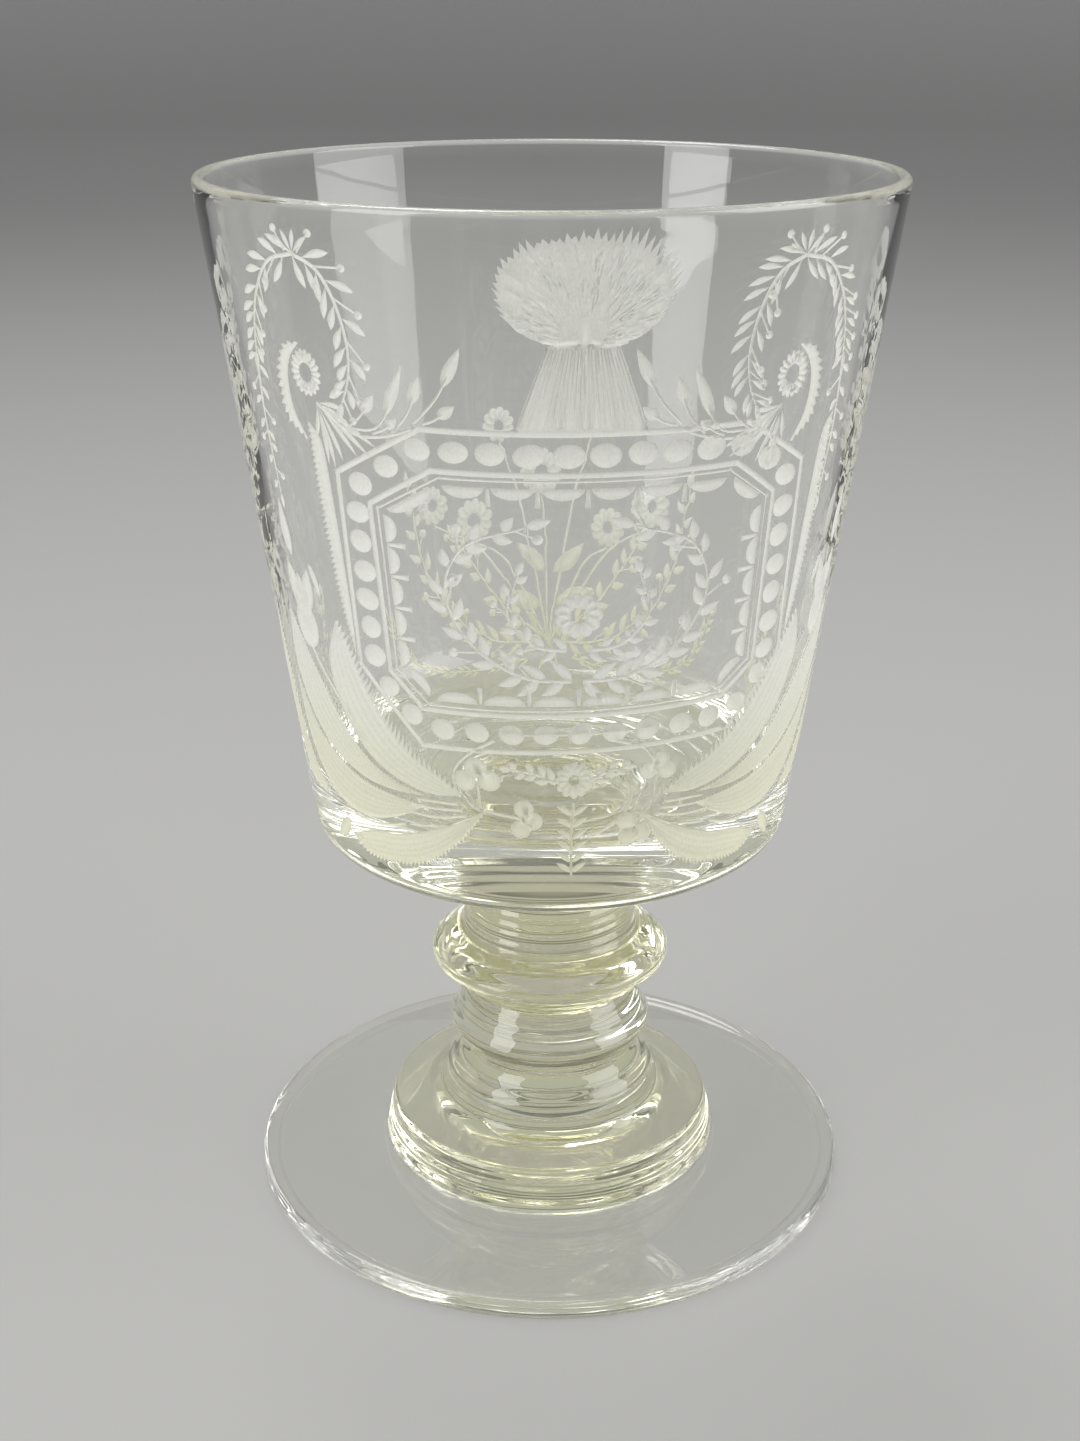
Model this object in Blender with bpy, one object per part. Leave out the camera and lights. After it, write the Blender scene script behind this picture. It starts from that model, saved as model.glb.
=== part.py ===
"""A large engraved rummer of about 1810: a drinking glass with a straight-sided bucket bowl,
a stem of two bladed knops and a broad foot with a raised terrace.

Metres, +Z up. The glass stands on z = 0 with its axis on Z. Each gather of glass that the maker
joined hot to the next is one turned solid, and they are stacked from the foot upwards.
"""

import math

import bpy

# Every height below is the height of that piece alone, so the stack follows any change.
SEAT_GAP = 0.0003  # between two gathers, where the real glass is fused

FOOT_RADIUS = 0.0513
FOOT_EDGE_HEIGHT = 0.0035
FOOT_EDGE_ROUND = 0.0016
FOOT_RISE = 0.0009  # the top of the foot climbs this much from its edge to the boss
FOOT_RING_WIDTH = 0.0087  # the flat ring that the glass stands on
FOOT_HOLLOW_DEPTH = 0.0012
PONTIL_RADIUS = 0.0095
PONTIL_DEPTH = 0.0009  # the ground spot, measured up from the roof of the hollow
BOSS_HEIGHT = 0.0005  # the low step on the foot that carries the terrace
BOSS_FILLET = 0.0020

TERRACE_FOOT_RADIUS = 0.0290
TERRACE_TOP_RADIUS = 0.0278
TERRACE_HEIGHT = 0.0068
TERRACE_EDGE_ROUND = 0.0013
BELL_LEDGE = 0.0005  # the bell's top shows this much around the collar
BELL_SPREAD = 0.0048
BELL_HEIGHT = 0.0032

COLLAR_OVERHANG = 0.0036  # beyond the waist above it
COLLAR_HEIGHT = 0.0058
COLLAR_SIDE_HEIGHT = 0.0015  # from the seat up to the middle of the shoulder's round
COLLAR_SHOULDER_ROUND = 0.0018
COLLAR_FOOT_ROUND = 0.0008
LOWER_WAIST_RADIUS = 0.0146

LOWER_KNOP_OVERHANG = 0.0027  # a knop's edge, beyond the wider of its two waists
LOWER_KNOP_ROUND = 0.0021
LOWER_KNOP_ABOVE = 0.0063
LOWER_KNOP_BELOW = 0.0054
UPPER_WAIST_RADIUS = 0.0139

UPPER_KNOP_OVERHANG = 0.0046
UPPER_KNOP_ROUND = 0.0016
UPPER_KNOP_ABOVE = 0.0042
UPPER_KNOP_BELOW = 0.0066
NECK_FOOT_RADIUS = 0.0158

NECK_HEIGHT = 0.0175
NECK_WAIST_RADIUS = 0.0140
NECK_TOP_RADIUS = 0.0172

BOWL_HEIGHT = 0.1075
RIM_RADIUS = 0.0531
RIM_WALL = 0.0020
BASE_RADIUS = 0.0394  # where the straight wall meets the rounded corner
BASE_WALL = 0.0030
CORNER_ROUND = 0.0054
UNDERSIDE_DROP = 0.0016  # the underside falls this much from the corner to the neck
BASE_THICKNESS = 0.0110  # glass under the edge of the bowl's floor
FLOOR_DISH = 0.0010
FLOOR_ROUND = 0.0070

TURN_STEPS = 48
ARC_STEPS = 5

# The collar's side, which the bell below it takes its own top from
COLLAR_RADIUS = LOWER_WAIST_RADIUS + COLLAR_OVERHANG

# Pale straw glass, a little deeper in the thick gathers than in the thin bowl
BOWL_GLASS = (0.90, 0.92, 0.88, 1.0)
STEM_GLASS = (0.86, 0.88, 0.77, 1.0)
FOOT_GLASS = (0.88, 0.90, 0.82, 1.0)
GLASS_ROUGHNESS = 0.04
GLASS_IOR = 1.52


def arc(centre_r, centre_z, radius, start, end, steps=ARC_STEPS):
    """Points on a circle in the profile plane, from one angle to another in degrees."""
    points = []
    for step in range(steps + 1):
        angle = math.radians(start + (end - start) * step / steps)
        points.append((centre_r + radius * math.cos(angle), centre_z + radius * math.sin(angle)))
    return points


def cove(start, end, upright_first, steps=ARC_STEPS):
    """A hollow quarter curve between two points, upright at one end and level at the other."""
    points = []
    for step in range(steps + 1):
        turn = math.pi / 2 * step / steps
        along_r = 1 - math.cos(turn) if upright_first else math.sin(turn)
        along_z = math.sin(turn) if upright_first else 1 - math.cos(turn)
        points.append(
            (start[0] + (end[0] - start[0]) * along_r, start[1] + (end[1] - start[1]) * along_z)
        )
    return points


def blade(top, edge_radius, edge_z, edge_round, bottom):
    """The side of a bladed knop: a flank down to a rounded edge and a flank back to the waist."""
    centre_r = edge_radius - edge_round
    upper_lean = math.degrees(math.atan2(centre_r - top[0], top[1] - edge_z))
    lower_lean = math.degrees(math.atan2(centre_r - bottom[0], edge_z - bottom[1]))
    edge = arc(centre_r, edge_z, edge_round, upper_lean, -lower_lean)
    return [top] + edge + [bottom]


def glass(name, colour):
    material = bpy.data.materials.new(name)
    material.use_nodes = True
    shader = material.node_tree.nodes["Principled BSDF"]
    shader.inputs["Base Color"].default_value = colour
    shader.inputs["Roughness"].default_value = GLASS_ROUGHNESS
    shader.inputs["Metallic"].default_value = 0.0
    shader.inputs["IOR"].default_value = GLASS_IOR
    shader.inputs["Transmission Weight"].default_value = 1.0
    material.diffuse_color = colour
    return material


def turned(name, profile, colour):
    """A solid of revolution. The profile runs from the axis out, down its outer side and back."""
    mesh = bpy.data.meshes.new(name)
    points = [(r, 0.0, z) for r, z in profile]
    edges = [(i, i + 1) for i in range(len(points) - 1)]
    mesh.from_pydata(points, edges, [])
    piece = bpy.data.objects.new(name, mesh)
    bpy.context.scene.collection.objects.link(piece)
    piece.data.materials.append(glass(name + "_glass", colour))
    screw = piece.modifiers.new("Turn", "SCREW")
    screw.axis = "Z"
    screw.steps = TURN_STEPS
    screw.render_steps = TURN_STEPS
    screw.use_merge_vertices = True
    screw.merge_threshold = 0.00001
    screw.use_smooth_shade = True
    return piece


def foot():
    """The broad foot disc, with a rounded edge, a hollow underside and the boss for the terrace."""
    edge_r = FOOT_RADIUS - FOOT_EDGE_ROUND
    hollow_r = edge_r - FOOT_RING_WIDTH
    fillet_r = TERRACE_FOOT_RADIUS + BOSS_FILLET
    slope_z = FOOT_EDGE_HEIGHT + FOOT_RISE
    seat_z = slope_z + BOSS_HEIGHT
    roof_z = FOOT_HOLLOW_DEPTH + PONTIL_DEPTH
    profile = [(0.0, seat_z)]
    profile += cove((TERRACE_FOOT_RADIUS, seat_z), (fillet_r, slope_z), upright_first=True)
    profile += arc(edge_r, FOOT_EDGE_HEIGHT - FOOT_EDGE_ROUND, FOOT_EDGE_ROUND, 90, 0)
    profile += arc(edge_r, FOOT_EDGE_ROUND, FOOT_EDGE_ROUND, 0, -90)
    profile += [(hollow_r, 0.0)]
    profile += cove((PONTIL_RADIUS, FOOT_HOLLOW_DEPTH), (0.0, roof_z), upright_first=True)
    turned("foot", profile, FOOT_GLASS)
    return seat_z


def foot_terrace(below):
    """The thick pad on the foot, whose middle rises in a bell to carry the stem."""
    bottom_z = below + SEAT_GAP
    top_z = bottom_z + TERRACE_HEIGHT
    seat_z = top_z + BELL_HEIGHT
    bell_r = COLLAR_RADIUS + BELL_LEDGE
    profile = [(0.0, seat_z)]
    profile += cove((bell_r, seat_z), (bell_r + BELL_SPREAD, top_z), upright_first=True)
    profile += arc(
        TERRACE_TOP_RADIUS - TERRACE_EDGE_ROUND, top_z - TERRACE_EDGE_ROUND, TERRACE_EDGE_ROUND, 90, 0
    )
    profile += [(TERRACE_FOOT_RADIUS, bottom_z), (0.0, bottom_z)]
    turned("foot_terrace", profile, STEM_GLASS)
    return seat_z


def stem_collar(below):
    """The round-shouldered collar at the bottom of the stem."""
    bottom_z = below + SEAT_GAP
    seat_z = bottom_z + COLLAR_HEIGHT
    shoulder_r = COLLAR_RADIUS - COLLAR_SHOULDER_ROUND
    shoulder_z = bottom_z + COLLAR_SIDE_HEIGHT
    lean = math.degrees(math.atan2(shoulder_r - LOWER_WAIST_RADIUS, seat_z - shoulder_z))
    foot_r = COLLAR_RADIUS - COLLAR_FOOT_ROUND
    profile = [(0.0, seat_z), (LOWER_WAIST_RADIUS, seat_z)]
    profile += arc(shoulder_r, shoulder_z, COLLAR_SHOULDER_ROUND, lean, 0)
    profile += arc(foot_r, bottom_z + COLLAR_FOOT_ROUND, COLLAR_FOOT_ROUND, 0, -90)
    profile += [(0.0, bottom_z)]
    turned("stem_collar", profile, STEM_GLASS)
    return seat_z


def knop(name, below, under_radius, sizes, over_radius):
    """A bladed knop between two waists. sizes are its overhang, edge round and heights."""
    overhang, edge_round, height_below, height_above = sizes
    radius = max(under_radius, over_radius) + overhang
    bottom_z = below + SEAT_GAP
    edge_z = bottom_z + height_below
    seat_z = edge_z + height_above
    profile = [(0.0, seat_z)]
    profile += blade((over_radius, seat_z), radius, edge_z, edge_round, (under_radius, bottom_z))
    profile += [(0.0, bottom_z)]
    turned(name, profile, STEM_GLASS)
    return seat_z


def neck(below):
    """The waisted neck between the upper knop and the bowl."""
    bottom_z = below + SEAT_GAP
    seat_z = bottom_z + NECK_HEIGHT
    waist_z = (bottom_z + seat_z) / 2
    profile = [(0.0, seat_z)]
    profile += cove((NECK_TOP_RADIUS, seat_z), (NECK_WAIST_RADIUS, waist_z), upright_first=False)
    profile += cove((NECK_WAIST_RADIUS, waist_z), (NECK_FOOT_RADIUS, bottom_z), upright_first=True)[1:]
    profile += [(0.0, bottom_z)]
    turned("neck", profile, STEM_GLASS)
    return seat_z


def bowl(below):
    """The blown bucket bowl: a straight tapering wall on a thick base, with a fire-rounded rim."""
    bottom_z = below + SEAT_GAP
    rim_z = bottom_z + BOWL_HEIGHT
    corner_z = bottom_z + UNDERSIDE_DROP + CORNER_ROUND
    lip_round = RIM_WALL / 2
    lip_r = RIM_RADIUS - lip_round
    lip_z = rim_z - lip_round
    taper = math.degrees(math.atan2(RIM_RADIUS - BASE_RADIUS, lip_z - corner_z))
    floor_z = bottom_z + UNDERSIDE_DROP + BASE_THICKNESS
    share = (floor_z + FLOOR_ROUND - corner_z) / (lip_z - corner_z)
    inner_r = BASE_RADIUS + (RIM_RADIUS - BASE_RADIUS) * share - BASE_WALL
    corner_r = BASE_RADIUS - CORNER_ROUND
    fall = math.degrees(math.atan2(UNDERSIDE_DROP, corner_r - NECK_TOP_RADIUS))
    profile = [(0.0, floor_z - FLOOR_DISH)]
    profile += arc(inner_r - FLOOR_ROUND, floor_z + FLOOR_ROUND, FLOOR_ROUND, -90, -taper)
    profile += arc(lip_r, lip_z, lip_round, 180 - taper, -taper)
    profile += arc(corner_r, corner_z, CORNER_ROUND, -taper, fall - 90)
    profile += [(NECK_TOP_RADIUS, bottom_z), (0.0, bottom_z)]
    turned("bowl", profile, BOWL_GLASS)


def clear_scene():
    for old in list(bpy.data.objects):
        bpy.data.objects.remove(old, do_unlink=True)


clear_scene()
lower_sizes = (LOWER_KNOP_OVERHANG, LOWER_KNOP_ROUND, LOWER_KNOP_BELOW, LOWER_KNOP_ABOVE)
upper_sizes = (UPPER_KNOP_OVERHANG, UPPER_KNOP_ROUND, UPPER_KNOP_BELOW, UPPER_KNOP_ABOVE)
level = foot()
level = foot_terrace(level)
level = stem_collar(level)
level = knop("lower_knop", level, LOWER_WAIST_RADIUS, lower_sizes, UPPER_WAIST_RADIUS)
level = knop("upper_knop", level, UPPER_WAIST_RADIUS, upper_sizes, NECK_FOOT_RADIUS)
level = neck(level)
bowl(level)
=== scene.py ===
import math
import random

import bpy
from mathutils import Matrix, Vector
from mathutils.geometry import delaunay_2d_cdt


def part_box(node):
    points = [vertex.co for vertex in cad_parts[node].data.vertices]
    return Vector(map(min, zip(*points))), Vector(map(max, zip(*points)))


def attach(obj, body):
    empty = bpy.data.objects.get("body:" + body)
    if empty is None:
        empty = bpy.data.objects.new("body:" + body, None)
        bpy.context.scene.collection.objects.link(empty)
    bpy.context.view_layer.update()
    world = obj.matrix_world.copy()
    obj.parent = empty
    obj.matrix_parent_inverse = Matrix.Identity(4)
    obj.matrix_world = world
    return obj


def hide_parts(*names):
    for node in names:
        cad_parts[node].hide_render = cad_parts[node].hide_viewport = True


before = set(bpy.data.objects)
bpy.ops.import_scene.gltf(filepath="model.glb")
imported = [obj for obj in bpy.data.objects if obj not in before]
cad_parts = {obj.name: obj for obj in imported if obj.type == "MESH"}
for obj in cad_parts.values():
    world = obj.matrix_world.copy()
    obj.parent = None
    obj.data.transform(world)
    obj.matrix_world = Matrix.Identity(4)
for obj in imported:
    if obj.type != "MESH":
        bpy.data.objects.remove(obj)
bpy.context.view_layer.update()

# The foot
# A broad disc of glass, spun out flat while hot and left with a fire-rounded edge. It stands on a ring round
# a shallow hollow, with a ground spot in the middle, and its low boss is fused to the terrace above.
MM = 0.001
TURN_STEPS = 240
MERGE_GAP = 0.002
SOFT_EDGE = 40.0
FUSED_SLOT = 1
foot_edge = 51.3
foot_edge_height = 3.5
foot_edge_round = 1.75
foot_edge_dip = 0.5
foot_shoulder = 4.4
foot_ring_width = 2.0
foot_hollow = 1.2
foot_hollow_steps = 12
pontil_radius = 9.5
pontil_depth = 0.9
boss_radius = 29.0
boss_fillet = 2.0


def seam_height(lower, upper):
    """The height in mm where two gathers of glass are fused, half way between their solids."""
    return (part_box(lower)[1].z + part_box(upper)[0].z) / 2 / MM


def rounding(centre_r, centre_z, radius, start, end, steps=9):
    """Points on a circle in the outline, from one angle to another in degrees."""
    turns = [math.radians(start + (end - start) * step / steps) for step in range(steps + 1)]
    return [(centre_r + radius * math.cos(turn), centre_z + radius * math.sin(turn)) for turn in turns]


def hollow(start, end, upright_first, steps=9):
    """A hollow quarter curve between two points, upright at one end and level at the other."""
    points = []
    for step in range(steps + 1):
        turn = math.pi / 2 * step / steps
        slow, fast = 1 - math.cos(turn), math.sin(turn)
        share_r, share_z = (slow, fast) if upright_first else (fast, slow)
        points.append((start[0] + (end[0] - start[0]) * share_r, start[1] + (end[1] - start[1]) * share_z))
    return points


def straight(start, end, steps=18):
    """Points along a straight run of the outline."""
    shares = [step / steps for step in range(steps + 1)]
    return [(start[0] + (end[0] - start[0]) * t, start[1] + (end[1] - start[1]) * t) for t in shares]


def tool_rings(points, pitch=2.3, depth=0.08, level=False):
    """Shallow rings that fade out at the ends, as the tool leaves them in a flank or in a level face."""
    last = len(points) - 1
    ringed = []
    for i, (r, z) in enumerate(points):
        wave = depth * math.sin(math.pi * i / last) * math.sin(math.tau * (r if level else z) / pitch)
        ringed.append((r, z + wave) if level else (r + wave, z))
    return ringed


def turn_piece(name, outline):
    """Spins a half outline in mm, from the axis down the side and back to it, into a closed piece."""
    bpy.ops.object.select_all(action="DESELECT")
    bpy.ops.mesh.primitive_plane_add(size=MM)
    piece = bpy.context.object
    piece.name = name
    piece.data.name = name
    bpy.ops.object.mode_set(mode="EDIT")
    bpy.ops.mesh.merge(type="CENTER")
    bpy.ops.transform.translate(value=(outline[0][0] * MM, 0, outline[0][1] * MM))
    for (r, z), (next_r, next_z) in zip(outline, outline[1:]):
        step = ((next_r - r) * MM, 0, (next_z - z) * MM)
        bpy.ops.mesh.extrude_vertices_move(TRANSFORM_OT_translate={"value": step})
    bpy.ops.mesh.select_all(action="SELECT")
    bpy.ops.mesh.spin(steps=TURN_STEPS, angle=math.tau, center=(0, 0, 0), axis=(0, 0, 1))
    bpy.ops.mesh.select_all(action="SELECT")
    bpy.ops.mesh.remove_doubles(threshold=MERGE_GAP * MM)
    bpy.ops.mesh.normals_make_consistent(inside=False)
    bpy.ops.object.mode_set(mode="OBJECT")
    bpy.ops.object.shade_smooth_by_angle(angle=math.radians(SOFT_EDGE))
    return piece


def fuse(piece, height, reach):
    """Where a gather is fused to the next the glass runs on, so the faces of that plane show nothing."""
    points = piece.data.vertices
    for face in piece.data.polygons:
        level = all(abs(points[corner].co.z / MM - height) < MERGE_GAP for corner in face.vertices)
        if level and face.center.xy.length / MM < reach:
            face.material_index = FUSED_SLOT


STRIA_TINT = 0.3
MIX_COLOURS = (6, 7)
MIX_RESULT = 2


def set_sockets(node, **values):
    """Sets a node's sockets, whose names are written here with _ for a blank."""
    for name, value in values.items():
        node.inputs[name.replace("_", " ")].default_value = value


def old_glass_group():
    """Hand-made glass: a colour that deepens where the glass is thick, and faint striae."""
    group = bpy.data.node_groups.new("old_glass", "ShaderNodeTree")
    sockets = group.interface
    for name, kind in (("Thin Colour", "Color"), ("Thick Colour", "Color"), ("Thick Below", "Float"),
                       ("Thin Above", "Float"), ("Stria Stretch", "Float")):
        sockets.new_socket(name, in_out="INPUT", socket_type="NodeSocket" + kind)
    for name, kind in (("Colour", "Color"), ("Striae", "Float")):
        sockets.new_socket(name, in_out="OUTPUT", socket_type="NodeSocket" + kind)
    nodes, link = group.nodes, group.links.new
    given = nodes.new("NodeGroupInput")
    made = nodes.new("NodeGroupOutput")
    place = nodes.new("ShaderNodeTexCoord")
    height = nodes.new("ShaderNodeSeparateXYZ")
    link(place.outputs["Object"], height.inputs[0])
    depth = nodes.new("ShaderNodeMapRange")
    depth.interpolation_type = "SMOOTHSTEP"
    link(height.outputs["Z"], depth.inputs["Value"])
    link(given.outputs["Thick Below"], depth.inputs["From Min"])
    link(given.outputs["Thin Above"], depth.inputs["From Max"])
    stretch = nodes.new("ShaderNodeCombineXYZ")
    set_sockets(stretch, X=1.0, Y=1.0)
    link(given.outputs["Stria Stretch"], stretch.inputs["Z"])
    drawn = nodes.new("ShaderNodeVectorMath")
    drawn.operation = "MULTIPLY"
    link(place.outputs["Object"], drawn.inputs[0])
    link(stretch.outputs[0], drawn.inputs[1])
    striae = nodes.new("ShaderNodeTexNoise")
    set_sockets(striae, Scale=70.0, Detail=2.0)
    link(drawn.outputs[0], striae.inputs["Vector"])
    link(striae.outputs["Fac"], made.inputs["Striae"])
    uneven = nodes.new("ShaderNodeMath")
    uneven.operation = "MULTIPLY_ADD"
    uneven.inputs[1].default_value = STRIA_TINT
    link(striae.outputs["Fac"], uneven.inputs[0])
    link(depth.outputs["Result"], uneven.inputs[2])
    lower = nodes.new("ShaderNodeMath")
    lower.operation = "SUBTRACT"
    lower.use_clamp = True
    lower.inputs[1].default_value = STRIA_TINT / 2
    link(uneven.outputs[0], lower.inputs[0])
    colour = nodes.new("ShaderNodeMix")
    colour.data_type = "RGBA"
    link(lower.outputs[0], colour.inputs["Factor"])
    for name, socket in zip(("Thick Colour", "Thin Colour"), MIX_COLOURS):
        link(given.outputs[name], colour.inputs[socket])
    link(colour.outputs[MIX_RESULT], made.inputs["Colour"])
    return group


OLD_GLASS = old_glass_group()
GLASS_BEND = 1.52
LAMP_SHARE = 0.93


def new_material(name):
    """A material, with its nodes, the way to link them and its main shader."""
    material = bpy.data.materials.new(name)
    material.use_nodes = True
    nodes = material.node_tree.nodes
    return material, nodes, material.node_tree.links.new, nodes["Principled BSDF"]


def add_old_glass(nodes, thin, thick, thick_below, thin_above, stretch):
    """The old glass in a material, with its colours, the heights in mm between them and its striae."""
    look = nodes.new("ShaderNodeGroup")
    look.node_tree = OLD_GLASS
    set_sockets(look, Thin_Colour=(*thin, 1.0), Thick_Colour=(*thick, 1.0), Thick_Below=thick_below * MM,
                Thin_Above=thin_above * MM, Stria_Stretch=stretch)
    return look


def clear_glass(name, **body):
    """Blown glass that lets lamps through to what stands behind it."""
    material, nodes, link, glass = new_material(name)
    set_sockets(glass, IOR=GLASS_BEND, Transmission_Weight=1.0, Roughness=0.0)
    look = add_old_glass(nodes, **body)
    link(look.outputs["Colour"], glass.inputs["Base Color"])
    ripple = nodes.new("ShaderNodeBump")
    set_sockets(ripple, Strength=0.35, Distance=0.15 * MM)
    link(look.outputs["Striae"], ripple.inputs["Height"])
    link(ripple.outputs["Normal"], glass.inputs["Normal"])
    ray = nodes.new("ShaderNodeLightPath")
    open_way = nodes.new("ShaderNodeBsdfTransparent")
    set_sockets(open_way, Color=(LAMP_SHARE, LAMP_SHARE, LAMP_SHARE, 1.0))
    shader = glass
    for kind in ("Is Shadow Ray", "Is Diffuse Ray"):
        either = nodes.new("ShaderNodeMixShader")
        link(ray.outputs[kind], either.inputs["Fac"])
        link(shader.outputs[0], either.inputs[1])
        link(open_way.outputs[0], either.inputs[2])
        shader = either
    link(shader.outputs[0], nodes["Material Output"].inputs["Surface"])
    return material


# The plane inside a fused joint, where there is no surface to see
FUSED, _, _, seam = new_material("fused_joint")
set_sockets(seam, Alpha=0.0)


def finish_piece(piece, materials, node):
    """Gives a piece its materials, and lets it stand for its CAD node."""
    for material in materials:
        piece.data.materials.append(material)
    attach(piece, "root")
    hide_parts(node)


foot_seam = seam_height("foot", "foot_terrace")
foot_edge_centre = foot_edge - foot_edge_round
hollow_edge = foot_edge_centre - foot_ring_width
foot_outline = [(0.0, foot_seam)]
foot_outline += hollow((boss_radius, foot_seam), (boss_radius + boss_fillet, foot_shoulder), True)
dip_turn = 90 + math.degrees(math.acos(1 - foot_edge_dip / foot_edge_round))
edge_top = foot_edge_height - foot_edge_round
foot_outline += rounding(foot_edge_centre, edge_top, foot_edge_round, dip_turn, 0, 14)
foot_outline += rounding(foot_edge_centre, foot_edge_round, foot_edge_round, 0, -90)[1:]
for step in range(foot_hollow_steps + 1):
    inward_r = hollow_edge + (pontil_radius - hollow_edge) * step / foot_hollow_steps
    rise = 0.5 - 0.5 * math.cos(math.pi * step / foot_hollow_steps)
    foot_outline.append((inward_r, foot_hollow * rise))
foot_outline += hollow((pontil_radius, foot_hollow), (0.0, foot_hollow + pontil_depth), True)[1:]
foot_disc = turn_piece("foot_disc", foot_outline)
fuse(foot_disc, foot_seam, boss_radius)
foot_glass = clear_glass("foot_glass", thin=(0.972, 0.972, 0.93), thick=(0.955, 0.95, 0.89),
                         thick_below=1.0, thin_above=4.0, stretch=2.0)
finish_piece(foot_disc, (foot_glass, FUSED), "foot")

# The terrace
# A thick pad of glass dropped on the foot and marvered to a low drum. Its middle is drawn up in a bell that
# carries the stem.
terrace_top_radius = 27.8
terrace_edge_round = 1.3
terrace_drum = 6.8
bell_spread = 23.5
bell_top = 18.7
collar_seat = 17.4

terrace_seam = seam_height("foot_terrace", "stem_collar")
drum_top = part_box("foot_terrace")[0].z / MM + terrace_drum
terrace_outline = [(0.0, terrace_seam), (collar_seat, terrace_seam)]
bell_side = hollow((bell_top, terrace_seam), (bell_spread, drum_top), True, steps=24)
terrace_outline += tool_rings(bell_side, pitch=2.1, depth=0.1)
drum_edge = drum_top - terrace_edge_round
terrace_outline += rounding(terrace_top_radius - terrace_edge_round, drum_edge, terrace_edge_round, 90, 0)
drum_side = straight((terrace_top_radius, drum_edge), (boss_radius, foot_seam), steps=24)
terrace_outline += tool_rings(drum_side, pitch=2.5, depth=0.12)[1:] + [(0.0, foot_seam)]
terrace_pad = turn_piece("terrace_pad", terrace_outline)
fuse(terrace_pad, terrace_seam, collar_seat)
fuse(terrace_pad, foot_seam, boss_radius)
stem_glass = clear_glass("stem_glass", thin=(0.9, 0.885, 0.61), thick=(0.92, 0.905, 0.64),
                         thick_below=8.0, thin_above=20.0, stretch=3.0)
finish_piece(terrace_pad, (stem_glass, FUSED), "foot_terrace")

# The collar
# The lowest ring of the stem, a gather of the same glass squeezed with the pucellas, a glassmaker's tongs, to
# a round shoulder above a straight side. It is fused to the bell below and the lower knop above.
collar_radius = 18.2
collar_side = 1.5
collar_shoulder_round = 1.8
collar_foot_round = 0.8
lower_waist = 14.6

collar_seam = seam_height("stem_collar", "lower_knop")
shoulder_radius = collar_radius - collar_shoulder_round
shoulder_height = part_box("stem_collar")[0].z / MM + collar_side
shoulder_lean = math.degrees(math.atan2(shoulder_radius - lower_waist, collar_seam - shoulder_height))
shoulder = rounding(shoulder_radius, shoulder_height, collar_shoulder_round, shoulder_lean, 0)
collar_outline = [(0.0, collar_seam)]
collar_outline += tool_rings(straight((lower_waist, collar_seam), shoulder[0])) + shoulder[1:]
collar_outline += rounding(collar_seat, terrace_seam + collar_foot_round, collar_foot_round, 0, -90)
collar_outline += [(0.0, terrace_seam)]
collar_ring = turn_piece("collar_ring", collar_outline)
fuse(collar_ring, collar_seam, lower_waist)
fuse(collar_ring, terrace_seam, collar_seat)
finish_piece(collar_ring, (stem_glass, FUSED), "stem_collar")

# The two bladed knops
# Rings of the stem pressed out to a thin rounded edge between two waists. Each was worked on the gather
# below it while both were hot.
upper_waist = 13.9
neck_foot = 15.8
lower_knop_edge = 17.3
lower_knop_round = 2.1
lower_knop_rise = 5.4
upper_knop_edge = 20.4
upper_knop_round = 1.6
upper_knop_rise = 6.6


def bladed_knop(name, seams, waists, edge, edge_round, edge_height):
    """A ring between two waists, given as (lower, upper), whose flanks run out to a rounded edge."""
    low_seam, high_seam = seams
    low_waist, high_waist = waists
    centre = edge - edge_round
    rise = math.degrees(math.atan2(centre - high_waist, high_seam - edge_height))
    fall = math.degrees(math.atan2(centre - low_waist, edge_height - low_seam))
    rim = rounding(centre, edge_height, edge_round, rise, -fall, steps=14)
    outline = [(0.0, high_seam)] + tool_rings(straight((high_waist, high_seam), rim[0])) + rim[1:-1]
    outline += tool_rings(straight(rim[-1], (low_waist, low_seam))) + [(0.0, low_seam)]
    knop = turn_piece(name, outline)
    fuse(knop, high_seam, high_waist)
    fuse(knop, low_seam, low_waist)
    return knop


knop_seam = seam_height("lower_knop", "upper_knop")
neck_seam = seam_height("upper_knop", "neck")
lower_edge_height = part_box("lower_knop")[0].z / MM + lower_knop_rise
upper_edge_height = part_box("upper_knop")[0].z / MM + upper_knop_rise
lower_knop = bladed_knop(
    "lower_bladed_knop", (collar_seam, knop_seam), (lower_waist, upper_waist),
    lower_knop_edge, lower_knop_round, lower_edge_height
)
finish_piece(lower_knop, (stem_glass, FUSED), "lower_knop")
upper_knop = bladed_knop(
    "upper_bladed_knop", (knop_seam, neck_seam), (upper_waist, neck_foot),
    upper_knop_edge, upper_knop_round, upper_edge_height
)
finish_piece(upper_knop, (stem_glass, FUSED), "upper_knop")

# The neck
# The waisted length of stem between the upper knop and the bowl, drawn in with the pucellas, which leave
# close rings in it. It is fused to both.
neck_waist = 14.0
neck_top = 17.2

bowl_seam = seam_height("neck", "bowl")
waist_height = (neck_seam + bowl_seam) / 2
neck_side = hollow((neck_top, bowl_seam), (neck_waist, waist_height), False, steps=36)
neck_side += hollow((neck_waist, waist_height), (neck_foot, neck_seam), True, steps=36)[1:]
neck_outline = [(0.0, bowl_seam)] + tool_rings(neck_side, pitch=1.7, depth=0.2) + [(0.0, neck_seam)]
waisted_neck = turn_piece("waisted_neck", neck_outline)
fuse(waisted_neck, bowl_seam, neck_top)
fuse(waisted_neck, neck_seam, neck_foot)
finish_piece(waisted_neck, (stem_glass, FUSED), "neck")

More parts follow.
